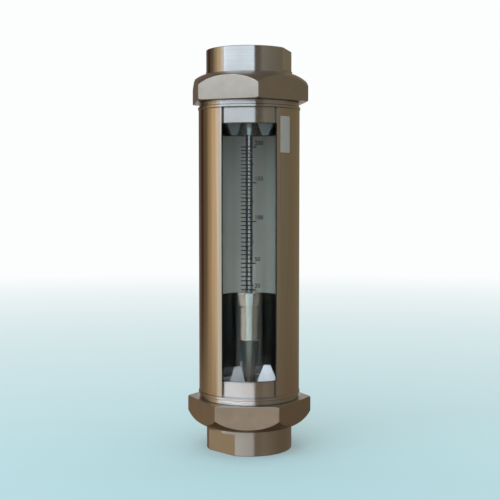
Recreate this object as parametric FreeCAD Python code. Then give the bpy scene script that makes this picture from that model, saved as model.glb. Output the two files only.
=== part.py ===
"""Glass-tube rotameter with a slotted steel sleeve and a union at each end.

Units are millimetres. The origin is the centre of the lower pipe face and +Z runs up the tube, the way
the fluid flows. The window of the sleeve faces -Y. Each end is described once, by stations measured
from its pipe face towards the middle, and is then set at the bottom or turned over and set at the top.
Azimuths are in degrees, from the window's centre line (-Y) towards +X.
"""
import FreeCAD, Part
import math
import os

from FreeCAD import Placement, Rotation, Vector

# ---------------------------------------------------------------- driving dimensions
TOTAL_LENGTH = 375.0            # pipe face to pipe face

# glass tube
GLASS_RADIUS = 31.5
GLASS_WALL_LOW = 3.8            # the bore widens upwards, so the wall thins
GLASS_WALL_HIGH = 2.8
GLASS_EDGE_CHAMFER = 0.5
GLASS_CUSHION_THICKNESS = 1.0
GLASS_CUSHION_WIDTH = 3.2

# packing and gland nut round the glass
PACKING_WIDTH = 3.5
PACKING_LENGTH = 5.0
GLAND_THREAD_STEP = 3.0         # packing to gland thread
GLAND_NOSE_LENGTH = 2.0
GLAND_HEAD_GAP = 1.0
GLAND_HEAD_THICKNESS = 4.0
GLAND_HEAD_STEP = 2.5           # gland thread to head
GLAND_BORE_CLEARANCE = 0.4
GLAND_NOTCH_WIDTH = 6.0
GLAND_NOTCH_DEPTH = 2.5
GLAND_NOTCHES = 4

# end piece: collar that holds the glass and the sleeve
POCKET_CLEARANCE = 1.8          # round the gland nut's head
POCKET_FLOOR_RISE = 2.5         # floor inside the spigot, above the lip's seat
SPIGOT_WALL = 3.0
SPIGOT_LENGTH = 14.5
SPIGOT_CHAMFER = 0.6
LIP_PROUD = 0.55                # lip beyond the sleeve
LIP_THICKNESS = 2.8
LIP_EDGE_CHAMFER = 0.5
LIP_STATION = 52.7              # pipe face to the lip's outer side
NECK_STEP = 1.2                 # lip to neck
NECK_GAP = 0.5                  # nut face to neck
SEAT_STATION = 44.0             # face that carries the glass cushion and the float stop
GLASS_SOCKET_DEPTH = 3.0
GLASS_SOCKET_CLEARANCE = 0.4

# sleeve and its screws
SLEEVE_WALL = 2.0
SLEEVE_SPIGOT_CLEARANCE = 0.25
SLEEVE_EDGE_CHAMFER = 0.3
WINDOW_HALF_ANGLE = 31.8
SCREW_AZIMUTH = 180.0
SCREW_RADIUS = 2.0
SCREW_HEAD_RADIUS = 3.8
SCREW_HEAD_HEIGHT = 1.8
SCREW_SHANK_LENGTH = 4.2
SCREW_SLOT_WIDTH = 1.0
SCREW_SLOT_DEPTH = 0.8

# union thread between nut and end piece
UNION_THREAD_STEP = 1.9         # neck to the thread's major diameter
UNION_THREAD_PITCH = 2.0
UNION_THREAD_CLEARANCE = 0.2
UNION_THREAD_CHAMFER = 1.0

# pipe insert: the tail piece with the female pipe thread
INSERT_FLANGE_CLEARANCE = 1.4   # flange to the union thread's major diameter
INSERT_FLANGE_STEP = 3.1        # stub to flange
INSERT_FLANGE_THICKNESS = 4.0
STUB_CHAMFER = 0.5
PIPE_THREAD_RADIUS = 29.81      # major radius of a 2 inch parallel pipe thread
PIPE_THREAD_DEPTH = 24.0
PIPE_THREAD_COUNTERSINK = 1.2
INSERT_FLOW_CHAMFER = 1.0
WRENCH_FLATS_CUT = 3.8          # depth of each wrench flat
WRENCH_FLATS_LENGTH = 20.0
LOWER_FLATS_AZIMUTH = -44.0
UPPER_FLATS_AZIMUTH = 74.0

# union nut
NUT_STATION = 22.8              # pipe face to the nut's rounded end
NUT_WALL = 5.85                 # union thread to the middle of a flat
NUT_LENGTH = 25.7
NUT_WEB = 5.0                   # thickness of the inward shoulder
NUT_LAND_WIDTH = 1.5            # flat ring left on the rounded end
NUT_SHOULDER_HEIGHT = 12.4      # height of the rounded end at the hexagon's corners
NUT_SHOULDER_BULGE = 1.8        # how far the rounded end stands out of a straight cone
NUT_CORNER_FILLET = 1.0
NUT_EDGE_CHAMFER = 0.8
NUT_STUB_CLEARANCE = 0.4
LOWER_NUT_AZIMUTH = -2.0        # azimuth of a flat of the lower nut
UPPER_NUT_AZIMUTH = 38.0        # azimuth of a flat of the upper nut

# slip washer and flat gasket of the union
SLIP_WASHER_THICKNESS = 1.0
SLIP_WASHER_CLEARANCE = 0.5     # to the stub inside and to the nut outside
FLAT_GASKET_THICKNESS = 2.0
FLAT_GASKET_RIM = 0.4           # how far the gasket stays inside the flange
FLAT_GASKET_BORE_STEP = 1.5     # flow bore to the gasket's bore

# float stops: ring, three vanes and a hub
STOP_RING_CLEARANCE = 0.4       # to the glass
STOP_RING_WALL = 3.2
STOP_RING_LENGTH = 10.0
STOP_RING_SEAT = 1.4            # how far the ring reaches over the seat
INSERT_FLOW_STEP = 1.0          # the insert's flow bore beyond the end piece's
STOP_VANES = 3
STOP_VANE_THICKNESS = 3.0
STOP_VANE_SETBACK = 2.0         # vane foot above the seat
STOP_VANE_SHOULDER_STATION = 62.5
STOP_TIP_STATION = 79.0
STOP_TIP_SETBACK = 7.0          # ring to the outer edge of a vane's tip
STOP_TIP_INNER_RADIUS = 14.1
STOP_HUB_RADIUS = 7.3
LOWER_HUB_STATION = 61.5        # hub face that carries the resting float
UPPER_HUB_STATION = 64.0
LOWER_STOP_AZIMUTH = 81.0
UPPER_STOP_AZIMUTH = 63.0

# guide rod, its nuts and the tapered ferrule under the upper hub
ROD_RADIUS = 3.5
ROD_END_RADIUS = 2.5
ROD_END_PROUD = 1.5             # rod end beyond its nut
ROD_NUT_ACROSS_FLATS = 9.0
ROD_NUT_THICKNESS = 4.0
FERRULE_STATION = 78.3          # pipe face to the ferrule's free end
FERRULE_RADIUS = 7.8
FERRULE_NOSE_RADIUS = 6.0
FERRULE_TAPER_LENGTH = 6.3

# float
FLOAT_REST_GAP = 0.2            # nose above the hub, and head below the ferrule at the top
FLOAT_TIP_RADIUS = 4.5
FLOAT_NOSE_LENGTH = 41.0
FLOAT_NOSE_TOP_RADIUS = 9.8
FLOAT_BORE_CLEARANCE = 0.3
FLOAT_SHANK_RADIUS = 8.9
FLOAT_SHANK_LENGTH = 30.9
FLOAT_GROOVE_DEPTH = 0.6
FLOAT_GROOVE_LENGTH = 1.7
FLOAT_HEAD_LENGTH = 12.6
FLOAT_HEAD_LOW_RADIUS = 10.2
FLOAT_HEAD_TOP_RADIUS = 11.45
FLOAT_EDGE_CHAMFER = 0.3
BUSH_CLEARANCE = 0.1
HEAD_BUSH_WALL = 2.15
HEAD_BUSH_LENGTH = 8.0
HEAD_BUSH_RECESS = 0.5
NOSE_SPIGOT_WALL = 2.9
NOSE_SPIGOT_LENGTH = 8.0
SHANK_BUSH_LENGTH = 4.0

# white strip fused to the back of the glass
STRIP_THICKNESS = 0.6
STRIP_BOND = 0.05               # adhesive between strip and glass
STRIP_STATION = 78.0            # upper pipe face to the strip's upper edge
STRIP_LENGTH = 152.0
STRIP_HALF_ANGLE = 75.0

# ---------------------------------------------------------------- places worked out from them
# radii, outwards from the glass to the sleeve and from there to the union
PACKING_RADIUS = GLASS_RADIUS + PACKING_WIDTH
GLAND_THREAD_RADIUS = PACKING_RADIUS + GLAND_THREAD_STEP
GLAND_HEAD_RADIUS = GLAND_THREAD_RADIUS + GLAND_HEAD_STEP
POCKET_RADIUS = GLAND_HEAD_RADIUS + POCKET_CLEARANCE
SPIGOT_RADIUS = POCKET_RADIUS + SPIGOT_WALL
SLEEVE_BORE_RADIUS = SPIGOT_RADIUS + SLEEVE_SPIGOT_CLEARANCE
SLEEVE_RADIUS = SLEEVE_BORE_RADIUS + SLEEVE_WALL
LIP_RADIUS = SLEEVE_RADIUS + LIP_PROUD
NECK_RADIUS = LIP_RADIUS - NECK_STEP
UNION_THREAD_RADIUS = NECK_RADIUS - UNION_THREAD_STEP
NUT_BORE_RADIUS = UNION_THREAD_RADIUS + UNION_THREAD_CLEARANCE
NUT_ACROSS_FLATS = 2 * (UNION_THREAD_RADIUS + NUT_WALL)
INSERT_FLANGE_RADIUS = UNION_THREAD_RADIUS - INSERT_FLANGE_CLEARANCE
STUB_RADIUS = INSERT_FLANGE_RADIUS - INSERT_FLANGE_STEP
NUT_MOUTH_RADIUS = STUB_RADIUS + NUT_STUB_CLEARANCE
NUT_LAND_RADIUS = NUT_MOUTH_RADIUS + NUT_LAND_WIDTH

# radii, inwards from the glass to the flow
GLASS_BORE_RADIUS_LOW = GLASS_RADIUS - GLASS_WALL_LOW
GLASS_BORE_RADIUS_HIGH = GLASS_RADIUS - GLASS_WALL_HIGH
STOP_RING_RADIUS = GLASS_BORE_RADIUS_LOW - STOP_RING_CLEARANCE
STOP_TIP_OUTER_RADIUS = STOP_RING_RADIUS - STOP_TIP_SETBACK
END_FLOW_RADIUS = STOP_RING_RADIUS - STOP_RING_SEAT
INSERT_FLOW_RADIUS = END_FLOW_RADIUS + INSERT_FLOW_STEP
FLAT_GASKET_BORE_RADIUS = INSERT_FLOW_RADIUS + FLAT_GASKET_BORE_STEP

# radii of the float, outwards from the rod
BUSH_BORE_RADIUS = ROD_RADIUS + BUSH_CLEARANCE
FLOAT_BORE_RADIUS = ROD_RADIUS + FLOAT_BORE_CLEARANCE
FLOAT_GROOVE_RADIUS = FLOAT_SHANK_RADIUS - FLOAT_GROOVE_DEPTH
HEAD_BUSH_RADIUS = BUSH_BORE_RADIUS + HEAD_BUSH_WALL
NOSE_SPIGOT_RADIUS = FLOAT_BORE_RADIUS + NOSE_SPIGOT_WALL

# stations from a pipe face towards the middle
NUT_SHOULDER_STATION = NUT_STATION + NUT_WEB
NUT_FACE_STATION = NUT_STATION + NUT_LENGTH
WASHER_END_STATION = NUT_SHOULDER_STATION + SLIP_WASHER_THICKNESS
INSERT_LENGTH = WASHER_END_STATION + INSERT_FLANGE_THICKNESS
GASKET_END_STATION = INSERT_LENGTH + FLAT_GASKET_THICKNESS
NECK_STATION = NUT_FACE_STATION + NECK_GAP
SLEEVE_STATION = LIP_STATION + LIP_THICKNESS
SPIGOT_END_STATION = SLEEVE_STATION + SPIGOT_LENGTH
POCKET_FLOOR_STATION = SLEEVE_STATION + POCKET_FLOOR_RISE
PACKING_STATION = SEAT_STATION + GLASS_SOCKET_DEPTH
GLAND_STATION = PACKING_STATION + PACKING_LENGTH
GLAND_HEAD_STATION = POCKET_FLOOR_STATION + GLAND_HEAD_GAP
GLASS_STATION = SEAT_STATION + GLASS_CUSHION_THICKNESS
ROD_NUT_STATION = SEAT_STATION - ROD_NUT_THICKNESS
ROD_END_STATION = ROD_NUT_STATION - ROD_END_PROUD

# heights of the float at rest, of the strip, and how far float and nuts move
FLOAT_TIP_HEIGHT = LOWER_HUB_STATION + FLOAT_REST_GAP
FLOAT_SHANK_HEIGHT = FLOAT_TIP_HEIGHT + FLOAT_NOSE_LENGTH
FLOAT_GROOVE_HEIGHT = FLOAT_SHANK_HEIGHT + FLOAT_SHANK_LENGTH
FLOAT_HEAD_HEIGHT = FLOAT_GROOVE_HEIGHT + FLOAT_GROOVE_LENGTH
FLOAT_TOP_HEIGHT = FLOAT_HEAD_HEIGHT + FLOAT_HEAD_LENGTH
STRIP_TOP_HEIGHT = TOTAL_LENGTH - STRIP_STATION
FLOAT_TRAVEL = TOTAL_LENGTH - FERRULE_STATION - FLOAT_REST_GAP - FLOAT_TOP_HEIGHT
NUT_TRAVEL = UNION_THREAD_PITCH * math.floor((NUT_FACE_STATION - GASKET_END_STATION) / UNION_THREAD_PITCH)
THREAD_DEPTH_PER_PITCH = 0.6134 # of a metric screw
EPS = 1.0                       # overshoot of cutting tools


# ---------------------------------------------------------------- helpers
def outline(points):
    """Closed flat face in the XZ plane through (radius, station) points.

    A point may be given as ("arc", middle, end), which joins the last point to end through middle.
    """
    edges = []
    start = last = Vector(points[0][0], 0, points[0][1])
    for point in points[1:]:
        if point[0] == "arc":
            middle = Vector(point[1][0], 0, point[1][1])
            end = Vector(point[2][0], 0, point[2][1])
            edges.append(Part.Arc(last, middle, end).toShape())
        else:
            end = Vector(point[0], 0, point[1])
            edges.append(Part.makeLine(last, end))
        last = end
    edges.append(Part.makeLine(last, start))
    return Part.Face(Part.Wire(edges))


def turned(points, sweep=360.0):
    """Solid turned about the tube's axis from (radius, station) points."""
    return outline(points).revolve(Vector(0, 0, 0), Vector(0, 0, 1), sweep)


def tube(outer, inner, low, high):
    """Plain ring between two radii and two stations."""
    return turned([(inner, low), (outer, low), (outer, high), (inner, high)])


def azimuth(shape, angle):
    """The shape turned about the axis from facing +X to facing the given azimuth."""
    return shape.rotated(Vector(0, 0, 0), Vector(0, 0, 1), angle - 90.0)


def at_top(shape):
    """A shape built for the lower end, turned over onto the upper end."""
    turn = Rotation(Vector(1, 0, 0), 180)
    return shape.transformed(Placement(Vector(0, 0, TOTAL_LENGTH), turn).toMatrix())


def turned_over(angle):
    """Azimuth that a feature needs before at_top, so as to face the given azimuth afterwards."""
    return 180.0 - angle


def hexagon(across_flats, low, high):
    """Upright hexagonal prism with one flat facing +X."""
    corner = across_flats / 2 / math.cos(math.pi / 6)
    corners = [
        Vector(corner * math.cos(math.radians(30 + 60 * n)), corner * math.sin(math.radians(30 + 60 * n)), low)
        for n in range(6)
    ]
    face = Part.Face(Part.makePolygon(corners + corners[:1]))
    return face.extrude(Vector(0, 0, high - low))


def upright_edges(shape):
    """Straight edges of the shape that run along the axis."""
    return [e for e in shape.Edges if abs(e.tangentAt(e.FirstParameter).z) > 0.999 and len(e.Vertexes) == 2]


# ---------------------------------------------------------------- union: insert, nut, washer, gasket
def pipe_insert(flats_azimuth):
    """Tail piece: pipe thread in one end, wrench flats outside, and a flange that the nut draws in."""
    body = turned([
        (PIPE_THREAD_RADIUS + PIPE_THREAD_COUNTERSINK, 0),
        (STUB_RADIUS - STUB_CHAMFER, 0),
        (STUB_RADIUS, STUB_CHAMFER),
        (STUB_RADIUS, WASHER_END_STATION),
        (INSERT_FLANGE_RADIUS, WASHER_END_STATION),
        (INSERT_FLANGE_RADIUS, INSERT_LENGTH),
        (INSERT_FLOW_RADIUS, INSERT_LENGTH),
        (INSERT_FLOW_RADIUS, PIPE_THREAD_DEPTH + INSERT_FLOW_CHAMFER),
        (INSERT_FLOW_RADIUS + INSERT_FLOW_CHAMFER, PIPE_THREAD_DEPTH),
        (PIPE_THREAD_RADIUS, PIPE_THREAD_DEPTH),
        (PIPE_THREAD_RADIUS, PIPE_THREAD_COUNTERSINK),
    ])
    for side in (1, -1):
        slab = Part.makeBox(
            STUB_RADIUS, 2 * STUB_RADIUS, WRENCH_FLATS_LENGTH + EPS,
            Vector(STUB_RADIUS - WRENCH_FLATS_CUT, -STUB_RADIUS, -EPS),
        )
        if side < 0:
            slab = slab.rotated(Vector(0, 0, 0), Vector(0, 0, 1), 180)
        body = body.cut(azimuth(slab, flats_azimuth))
    return body


def union_nut(flat_azimuth):
    """Hexagonal nut with a rounded end, an inward shoulder and the union thread's bore."""
    corner = NUT_ACROSS_FLATS / 2 / math.cos(math.pi / 6)
    land = (NUT_LAND_RADIUS, NUT_STATION)
    brow = (corner, NUT_STATION + NUT_SHOULDER_HEIGHT)
    slope = math.hypot(brow[0] - land[0], brow[1] - land[1])
    crown = (
        (land[0] + brow[0]) / 2 + NUT_SHOULDER_BULGE * (brow[1] - land[1]) / slope,
        (land[1] + brow[1]) / 2 - NUT_SHOULDER_BULGE * (brow[0] - land[0]) / slope,
    )
    prism = hexagon(NUT_ACROSS_FLATS, NUT_STATION, NUT_FACE_STATION)
    prism = prism.makeFillet(NUT_CORNER_FILLET, upright_edges(prism))
    envelope = turned([
        (0, NUT_STATION),
        land,
        ("arc", crown, brow),
        (corner, NUT_FACE_STATION - NUT_EDGE_CHAMFER),
        (corner - NUT_EDGE_CHAMFER / math.tan(math.pi / 6), NUT_FACE_STATION),
        (0, NUT_FACE_STATION),
    ])
    bore = turned([
        (0, NUT_STATION - EPS),
        (NUT_MOUTH_RADIUS, NUT_STATION - EPS),
        (NUT_MOUTH_RADIUS, NUT_SHOULDER_STATION),
        (NUT_BORE_RADIUS, NUT_SHOULDER_STATION),
        (NUT_BORE_RADIUS, NUT_FACE_STATION - NUT_EDGE_CHAMFER),
        (NUT_BORE_RADIUS + NUT_EDGE_CHAMFER + EPS, NUT_FACE_STATION + EPS),
        (0, NUT_FACE_STATION + EPS),
    ])
    return azimuth(prism.common(envelope).cut(bore), flat_azimuth)


def slip_washer():
    """Thin washer that lets the nut turn against the insert's flange."""
    return tube(
        NUT_BORE_RADIUS - SLIP_WASHER_CLEARANCE,
        STUB_RADIUS + SLIP_WASHER_CLEARANCE,
        NUT_SHOULDER_STATION, WASHER_END_STATION,
    )


def flat_gasket():
    """Flat gasket squeezed between the insert's flange and the end piece."""
    return tube(
        INSERT_FLANGE_RADIUS - FLAT_GASKET_RIM, FLAT_GASKET_BORE_RADIUS,
        INSERT_LENGTH, GASKET_END_STATION,
    )


# ---------------------------------------------------------------- end piece and what seals the glass
def end_piece(screw_azimuth):
    """Collar with the union thread, the lip that stops the sleeve, and the spigot inside the sleeve."""
    root = UNION_THREAD_RADIUS - THREAD_DEPTH_PER_PITCH * UNION_THREAD_PITCH
    socket = GLASS_RADIUS + GLASS_SOCKET_CLEARANCE
    body = turned([
        (END_FLOW_RADIUS, GASKET_END_STATION),
        (root - UNION_THREAD_CHAMFER, GASKET_END_STATION),
        (root, GASKET_END_STATION + UNION_THREAD_CHAMFER),
        (root, NECK_STATION),
        (NECK_RADIUS, NECK_STATION),
        (NECK_RADIUS, LIP_STATION),
        (LIP_RADIUS - LIP_EDGE_CHAMFER, LIP_STATION),
        (LIP_RADIUS, LIP_STATION + LIP_EDGE_CHAMFER),
        (LIP_RADIUS, SLEEVE_STATION - LIP_EDGE_CHAMFER),
        (LIP_RADIUS - LIP_EDGE_CHAMFER, SLEEVE_STATION),
        (SPIGOT_RADIUS, SLEEVE_STATION),
        (SPIGOT_RADIUS, SPIGOT_END_STATION - SPIGOT_CHAMFER),
        (SPIGOT_RADIUS - SPIGOT_CHAMFER, SPIGOT_END_STATION),
        (POCKET_RADIUS, SPIGOT_END_STATION),
        (POCKET_RADIUS, POCKET_FLOOR_STATION),
        (GLAND_THREAD_RADIUS, POCKET_FLOOR_STATION),
        (GLAND_THREAD_RADIUS, GLAND_STATION),
        (PACKING_RADIUS, GLAND_STATION),
        (PACKING_RADIUS, PACKING_STATION),
        (socket, PACKING_STATION),
        (socket, SEAT_STATION),
        (END_FLOW_RADIUS, SEAT_STATION),
    ])
    return body.cut(azimuth(screw_shank(), screw_azimuth))


def glass_cushion():
    """Soft ring under the end of the glass."""
    return tube(GLASS_RADIUS, GLASS_RADIUS - GLASS_CUSHION_WIDTH, SEAT_STATION, GLASS_STATION)


def packing_ring():
    """Packing that seals the glass in its end piece."""
    return tube(PACKING_RADIUS, GLASS_RADIUS, PACKING_STATION, GLAND_STATION)


def gland_nut():
    """Threaded ring that squeezes the packing, with notches for a pin spanner."""
    head_end = GLAND_HEAD_STATION + GLAND_HEAD_THICKNESS
    body = turned([
        (GLASS_RADIUS + GLAND_BORE_CLEARANCE, GLAND_STATION),
        (PACKING_RADIUS, GLAND_STATION),
        (PACKING_RADIUS, GLAND_STATION + GLAND_NOSE_LENGTH),
        (GLAND_THREAD_RADIUS, GLAND_STATION + GLAND_NOSE_LENGTH),
        (GLAND_THREAD_RADIUS, GLAND_HEAD_STATION),
        (GLAND_HEAD_RADIUS, GLAND_HEAD_STATION),
        (GLAND_HEAD_RADIUS, head_end),
        (GLASS_RADIUS + GLAND_BORE_CLEARANCE, head_end),
    ])
    notch = Part.makeBox(
        GLAND_HEAD_RADIUS, GLAND_NOTCH_WIDTH, GLAND_NOTCH_DEPTH + EPS,
        Vector(PACKING_RADIUS, -GLAND_NOTCH_WIDTH / 2, head_end - GLAND_NOTCH_DEPTH),
    )
    for n in range(GLAND_NOTCHES):
        body = body.cut(azimuth(notch, 45.0 + n * 360.0 / GLAND_NOTCHES))
    return body


# ---------------------------------------------------------------- float stops, rod and ferrule
def float_stop(hub_station, first_azimuth):
    """Ring with three vanes whose slanted inner edges leave room for the float's nose, and a hub."""
    ring = tube(STOP_RING_RADIUS, STOP_RING_RADIUS - STOP_RING_WALL, SEAT_STATION, SEAT_STATION + STOP_RING_LENGTH)
    hub = tube(STOP_HUB_RADIUS, ROD_END_RADIUS, SEAT_STATION, hub_station)
    foot = SEAT_STATION + STOP_VANE_SETBACK
    lean = (STOP_TIP_INNER_RADIUS - STOP_HUB_RADIUS) / (STOP_TIP_STATION - LOWER_HUB_STATION)
    hub_end_radius = STOP_HUB_RADIUS + lean * (hub_station - LOWER_HUB_STATION)
    inside = (STOP_HUB_RADIUS + ROD_END_RADIUS) / 2
    plate = outline([
        (inside, foot),
        (STOP_RING_RADIUS - STOP_RING_WALL / 2, foot),
        (STOP_RING_RADIUS - STOP_RING_WALL / 2, SEAT_STATION + STOP_RING_LENGTH / 2),
        (STOP_RING_RADIUS, SEAT_STATION + STOP_RING_LENGTH / 2),
        (STOP_RING_RADIUS, STOP_VANE_SHOULDER_STATION),
        (STOP_TIP_OUTER_RADIUS, STOP_TIP_STATION),
        (STOP_TIP_INNER_RADIUS, STOP_TIP_STATION),
        (hub_end_radius, hub_station),
        (inside, hub_station),
    ])
    vane = plate.extrude(Vector(0, STOP_VANE_THICKNESS, 0))
    vane.translate(Vector(0, -STOP_VANE_THICKNESS / 2, 0))
    vane = vane.common(tube(STOP_RING_RADIUS, inside, foot, STOP_TIP_STATION))
    vanes = [azimuth(vane, first_azimuth + n * 360.0 / STOP_VANES) for n in range(STOP_VANES)]
    return ring.fuse([hub] + vanes).removeSplitter()


def guide_rod():
    """Polished rod between the two hubs, stepped down at each end for its nut."""
    top_end = TOTAL_LENGTH - ROD_END_STATION
    top_step = TOTAL_LENGTH - UPPER_HUB_STATION
    return turned([
        (0, ROD_END_STATION),
        (ROD_END_RADIUS, ROD_END_STATION),
        (ROD_END_RADIUS, LOWER_HUB_STATION),
        (ROD_RADIUS, LOWER_HUB_STATION),
        (ROD_RADIUS, top_step),
        (ROD_END_RADIUS, top_step),
        (ROD_END_RADIUS, top_end),
        (0, top_end),
    ])


def rod_nut():
    """Small hexagonal nut on the stepped end of the guide rod."""
    prism = hexagon(ROD_NUT_ACROSS_FLATS, ROD_NUT_STATION, SEAT_STATION)
    corner = ROD_NUT_ACROSS_FLATS / 2 / math.cos(math.pi / 6)
    rise = (corner - ROD_NUT_ACROSS_FLATS / 2) * math.tan(math.pi / 6)
    dome = turned([
        (0, ROD_NUT_STATION),
        (ROD_NUT_ACROSS_FLATS / 2, ROD_NUT_STATION),
        (corner, ROD_NUT_STATION + rise),
        (corner, SEAT_STATION),
        (0, SEAT_STATION),
    ])
    bore = Part.makeCylinder(ROD_END_RADIUS, ROD_NUT_THICKNESS + 2 * EPS, Vector(0, 0, ROD_NUT_STATION - EPS))
    return prism.common(dome).cut(bore)


def rod_ferrule():
    """Tapered collar on the rod under the upper hub: the float's upper stop."""
    return turned([
        (ROD_RADIUS, UPPER_HUB_STATION),
        (FERRULE_RADIUS, UPPER_HUB_STATION),
        (FERRULE_RADIUS, FERRULE_STATION - FERRULE_TAPER_LENGTH),
        (FERRULE_NOSE_RADIUS, FERRULE_STATION),
        (ROD_RADIUS, FERRULE_STATION),
    ])


# ---------------------------------------------------------------- float
def float_body():
    """Head with the reading edge, groove and shank, bored for the rod and for both bushes."""
    socket_top = FLOAT_SHANK_HEIGHT + NOSE_SPIGOT_LENGTH + SHANK_BUSH_LENGTH
    bush_seat = FLOAT_TOP_HEIGHT - HEAD_BUSH_RECESS - HEAD_BUSH_LENGTH
    return turned([
        (NOSE_SPIGOT_RADIUS, FLOAT_SHANK_HEIGHT),
        (FLOAT_SHANK_RADIUS - FLOAT_EDGE_CHAMFER, FLOAT_SHANK_HEIGHT),
        (FLOAT_SHANK_RADIUS, FLOAT_SHANK_HEIGHT + FLOAT_EDGE_CHAMFER),
        (FLOAT_SHANK_RADIUS, FLOAT_GROOVE_HEIGHT),
        (FLOAT_GROOVE_RADIUS, FLOAT_GROOVE_HEIGHT),
        (FLOAT_GROOVE_RADIUS, FLOAT_HEAD_HEIGHT),
        (FLOAT_HEAD_LOW_RADIUS - FLOAT_EDGE_CHAMFER, FLOAT_HEAD_HEIGHT),
        (FLOAT_HEAD_LOW_RADIUS, FLOAT_HEAD_HEIGHT + FLOAT_EDGE_CHAMFER),
        (FLOAT_HEAD_TOP_RADIUS, FLOAT_TOP_HEIGHT),
        (HEAD_BUSH_RADIUS, FLOAT_TOP_HEIGHT),
        (HEAD_BUSH_RADIUS, bush_seat),
        (FLOAT_BORE_RADIUS, bush_seat),
        (FLOAT_BORE_RADIUS, socket_top),
        (NOSE_SPIGOT_RADIUS, socket_top),
    ])


def float_nose():
    """Long tapered nose screwed into the shank."""
    return turned([
        (FLOAT_BORE_RADIUS, FLOAT_TIP_HEIGHT),
        (FLOAT_TIP_RADIUS, FLOAT_TIP_HEIGHT),
        (FLOAT_NOSE_TOP_RADIUS, FLOAT_SHANK_HEIGHT),
        (NOSE_SPIGOT_RADIUS, FLOAT_SHANK_HEIGHT),
        (NOSE_SPIGOT_RADIUS, FLOAT_SHANK_HEIGHT + NOSE_SPIGOT_LENGTH),
        (FLOAT_BORE_RADIUS, FLOAT_SHANK_HEIGHT + NOSE_SPIGOT_LENGTH),
    ])


def head_bush():
    """Guide bush pressed into the float's head."""
    top = FLOAT_TOP_HEIGHT - HEAD_BUSH_RECESS
    return tube(HEAD_BUSH_RADIUS, BUSH_BORE_RADIUS, top - HEAD_BUSH_LENGTH, top)


def shank_bush():
    """Guide bush held in the shank by the nose."""
    low = FLOAT_SHANK_HEIGHT + NOSE_SPIGOT_LENGTH
    return tube(NOSE_SPIGOT_RADIUS, BUSH_BORE_RADIUS, low, low + SHANK_BUSH_LENGTH)


# ---------------------------------------------------------------- glass, strip, sleeve, screws
def glass_tube():
    """Metering tube: straight outside, with a bore that widens upwards."""
    low = GLASS_STATION
    high = TOTAL_LENGTH - GLASS_STATION
    return turned([
        (GLASS_BORE_RADIUS_LOW, low),
        (GLASS_RADIUS - GLASS_EDGE_CHAMFER, low),
        (GLASS_RADIUS, low + GLASS_EDGE_CHAMFER),
        (GLASS_RADIUS, high - GLASS_EDGE_CHAMFER),
        (GLASS_RADIUS - GLASS_EDGE_CHAMFER, high),
        (GLASS_BORE_RADIUS_HIGH, high),
    ])


def backing_strip():
    """White strip along the back of the glass, behind the scale."""
    inner = GLASS_RADIUS + STRIP_BOND
    profile = outline([
        (inner, STRIP_TOP_HEIGHT - STRIP_LENGTH),
        (inner + STRIP_THICKNESS, STRIP_TOP_HEIGHT - STRIP_LENGTH),
        (inner + STRIP_THICKNESS, STRIP_TOP_HEIGHT),
        (inner, STRIP_TOP_HEIGHT),
    ])
    strip = profile.revolve(Vector(0, 0, 0), Vector(0, 0, 1), 2 * STRIP_HALF_ANGLE)
    return azimuth(strip, 180.0 - STRIP_HALF_ANGLE)


def sleeve():
    """Slotted steel sleeve: the slot is the window, and it runs the whole length."""
    low = SLEEVE_STATION
    high = TOTAL_LENGTH - SLEEVE_STATION
    profile = outline([
        (SLEEVE_BORE_RADIUS, low),
        (SLEEVE_RADIUS - SLEEVE_EDGE_CHAMFER, low),
        (SLEEVE_RADIUS, low + SLEEVE_EDGE_CHAMFER),
        (SLEEVE_RADIUS, high - SLEEVE_EDGE_CHAMFER),
        (SLEEVE_RADIUS - SLEEVE_EDGE_CHAMFER, high),
        (SLEEVE_BORE_RADIUS, high),
    ])
    shell = profile.revolve(Vector(0, 0, 0), Vector(0, 0, 1), 360.0 - 2 * WINDOW_HALF_ANGLE)
    shell = azimuth(shell, WINDOW_HALF_ANGLE)
    hole = azimuth(screw_head().fuse(screw_shank()), SCREW_AZIMUTH)
    return shell.cut(hole).cut(at_top(azimuth(hole, 90.0 + turned_over(SCREW_AZIMUTH) - SCREW_AZIMUTH)))


def along_x(points, station):
    """Solid turned about a line along +X at the given station, from (radius, distance) points."""
    shape = turned(points)
    turn = Rotation(Vector(0, 1, 0), 90)
    return shape.transformed(Placement(Vector(0, 0, station), turn).toMatrix())


def screw_shank():
    """Shank of a sleeve screw, pointing inwards from the sleeve along X."""
    outer = SLEEVE_RADIUS - SCREW_HEAD_HEIGHT
    return along_x(
        [(0, outer - SCREW_SHANK_LENGTH), (SCREW_RADIUS, outer - SCREW_SHANK_LENGTH), (SCREW_RADIUS, outer), (0, outer)],
        SLEEVE_STATION + SPIGOT_LENGTH / 2,
    )


def screw_head():
    """Countersunk head of a sleeve screw, flush with the sleeve."""
    flush = math.sqrt(SLEEVE_RADIUS ** 2 - SCREW_HEAD_RADIUS ** 2)
    return along_x(
        [
            (0, SLEEVE_RADIUS - SCREW_HEAD_HEIGHT),
            (SCREW_RADIUS, SLEEVE_RADIUS - SCREW_HEAD_HEIGHT),
            (SCREW_HEAD_RADIUS, flush),
            (SCREW_HEAD_RADIUS, SLEEVE_RADIUS),
            (0, SLEEVE_RADIUS),
        ],
        SLEEVE_STATION + SPIGOT_LENGTH / 2,
    )


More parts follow.
